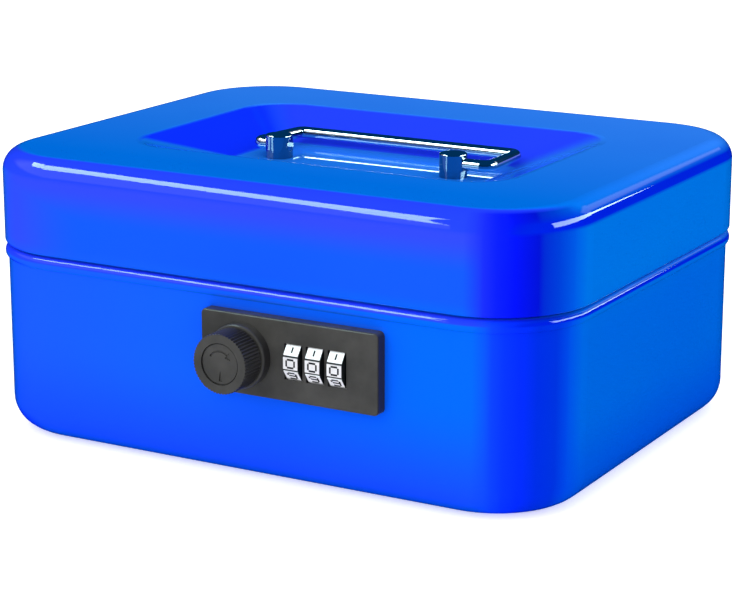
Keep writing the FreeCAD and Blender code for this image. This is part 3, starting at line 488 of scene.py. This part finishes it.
def math_node(tree, operation, first, second=0.0):
    """Adds a Math node; each input is an output socket or a number."""
    node = tree.nodes.new("ShaderNodeMath")
    node.operation = operation
    for value, socket in zip((first, second), node.inputs):
        if isinstance(value, bpy.types.NodeSocket):
            tree.links.new(value, socket)
        else:
            socket.default_value = value
    return node.outputs[0]


def edge_fade(tree, position):
    """One in the middle of a card and falling smoothly to zero at both ends of an axis."""
    distance = math_node(tree, "ABSOLUTE", math_node(tree, "SUBTRACT", position, 0.5))
    fade = tree.nodes.new("ShaderNodeMapRange")
    fade.interpolation_type = "SMOOTHSTEP"
    for socket, number in zip(fade.inputs[1:5], CARD_FADE + (1.0, 0.0)):
        socket.default_value = number
    tree.links.new(distance, fade.inputs["Value"])
    return fade.outputs["Result"]


def emitter(name, colour, strength, soft=False):
    """Plain light for a panel's front; a soft one fades towards its edges in Y and Z."""
    material = bpy.data.materials.new(name)
    material.use_nodes = True
    tree = material.node_tree
    tree.nodes.clear()
    glow = tree.nodes.new("ShaderNodeEmission")
    glow.inputs["Color"].default_value = colour + (1.0,)
    glow.inputs["Strength"].default_value = strength
    output = tree.nodes.new("ShaderNodeOutputMaterial")
    tree.links.new(glow.outputs["Emission"], output.inputs["Surface"])
    if soft:
        coordinates = tree.nodes.new("ShaderNodeTexCoord")
        split = tree.nodes.new("ShaderNodeSeparateXYZ")
        tree.links.new(coordinates.outputs["Generated"], split.inputs[0])
        both = math_node(tree, "MULTIPLY", *(edge_fade(tree, split.outputs[axis]) for axis in "YZ"))
        tree.links.new(math_node(tree, "MULTIPLY", both, strength), glow.inputs["Strength"])
    return material


def panel(name, corners, material):
    """Flat stage panel from its corners, unseen by the camera."""
    mesh = bpy.data.meshes.new(name)
    mesh.from_pydata(corners, [], [tuple(range(len(corners)))])
    mesh.materials.append(material)
    obj = bpy.data.objects.new(name, mesh)
    bpy.context.scene.collection.objects.link(obj)
    obj.visible_camera = False
    obj.visible_shadow = False
    return obj


def reflected_panel(name, corners, material):
    """Panel that only shows in polished surfaces."""
    panel(name, corners, material).visible_diffuse = False


def area_light(name, place, aim, size, power):
    """Soft rectangular lamp that shows neither to the camera nor in reflections."""
    data = bpy.data.lights.new(name, "AREA")
    data.shape = "RECTANGLE"
    data.size, data.size_y = size
    data.energy = power
    obj = bpy.data.objects.new(name, data)
    bpy.context.scene.collection.objects.link(obj)
    obj.location = place
    obj.rotation_mode = "QUATERNION"
    obj.rotation_quaternion = (Vector(aim) - Vector(place)).to_track_quat("-Z", "Y")
    obj.visible_camera = False
    obj.visible_glossy = False


def floor():
    """Pale sweep that the box stands on."""
    half = FLOOR_HALF
    corners = [(-half, -half, 0), (half, -half, 0), (half, half, 0), (-half, half, 0)]
    g = Graph("floor")
    tone = g.noise(3.0, 2.0)
    g.set(Base_Color=g.mix(tone, (0.80, 0.80, 0.81), (0.82, 0.82, 0.82)), Roughness=0.9,
          Emission_Color=(1.0, 1.0, 1.0), Emission_Strength=0.55)
    obj = panel("floor", corners, g.material)
    obj.visible_camera = True
    obj.visible_shadow = True
    obj.visible_glossy = False


def world():
    """Even white light on everything, with dim navy surroundings in the reflections."""
    made = bpy.data.worlds.new("studio")
    made.use_nodes = True
    made.cycles.sampling_method = "NONE"
    bpy.context.scene.world = made
    tree = made.node_tree
    tree.nodes.clear()
    path = tree.nodes.new("ShaderNodeLightPath")
    mix = tree.nodes.new("ShaderNodeMix")
    mix.data_type = "RGBA"
    mix.inputs[6].default_value = (ROOM_LIGHT, ROOM_LIGHT, ROOM_LIGHT, 1.0)
    mix.inputs[7].default_value = REFLECTED_ROOM + (1.0,)
    tree.links.new(path.outputs["Is Glossy Ray"], mix.inputs[0])
    back = tree.nodes.new("ShaderNodeBackground")
    tree.links.new(mix.outputs[2], back.inputs["Color"])
    output = tree.nodes.new("ShaderNodeOutputWorld")
    tree.links.new(back.outputs["Background"], output.inputs["Surface"])


def lights():
    """Soft key from the front left, and the panels that draw highlights along the bends."""
    area_light("key", KEY_PLACE, KEY_AIM, KEY_SIZE, KEY_POWER)
    reflected_panel("strip_front", STRIP_FRONT, emitter("strip_front_glow", *STRIP_FRONT_LIGHT))
    reflected_panel("strip_right", STRIP_RIGHT, emitter("strip_right_glow", *STRIP_RIGHT_LIGHT))
    card = emitter("card_glow", *CARD_LIGHT, soft=True)
    reflected_panel("card_left", CARD_LEFT, card)
    reflected_panel("card_rear", CARD_REAR, card)


def camera():
    """Camera at the photograph's angle, looking at the fitted target."""
    data = bpy.data.cameras.new("camera")
    data.sensor_width = SENSOR_WIDTH
    data.lens = LENS
    data.clip_start = 0.01
    data.clip_end = 100.0
    obj = bpy.data.objects.new("camera", data)
    bpy.context.scene.collection.objects.link(obj)
    azimuth = math.radians(CAMERA_AZIMUTH)
    elevation = math.radians(CAMERA_ELEVATION)
    back = Vector((math.sin(azimuth) * math.cos(elevation),
                   -math.cos(azimuth) * math.cos(elevation),
                   math.sin(elevation)))
    obj.location = CAMERA_TARGET + CAMERA_DISTANCE * back
    obj.rotation_mode = "QUATERNION"
    obj.rotation_quaternion = (-back).to_track_quat("-Z", "Y")
    bpy.context.scene.camera = obj


bpy.context.scene.view_settings.view_transform = "Standard"
paint_nodes()
dial_digits()
floor()
world()
lights()
camera()
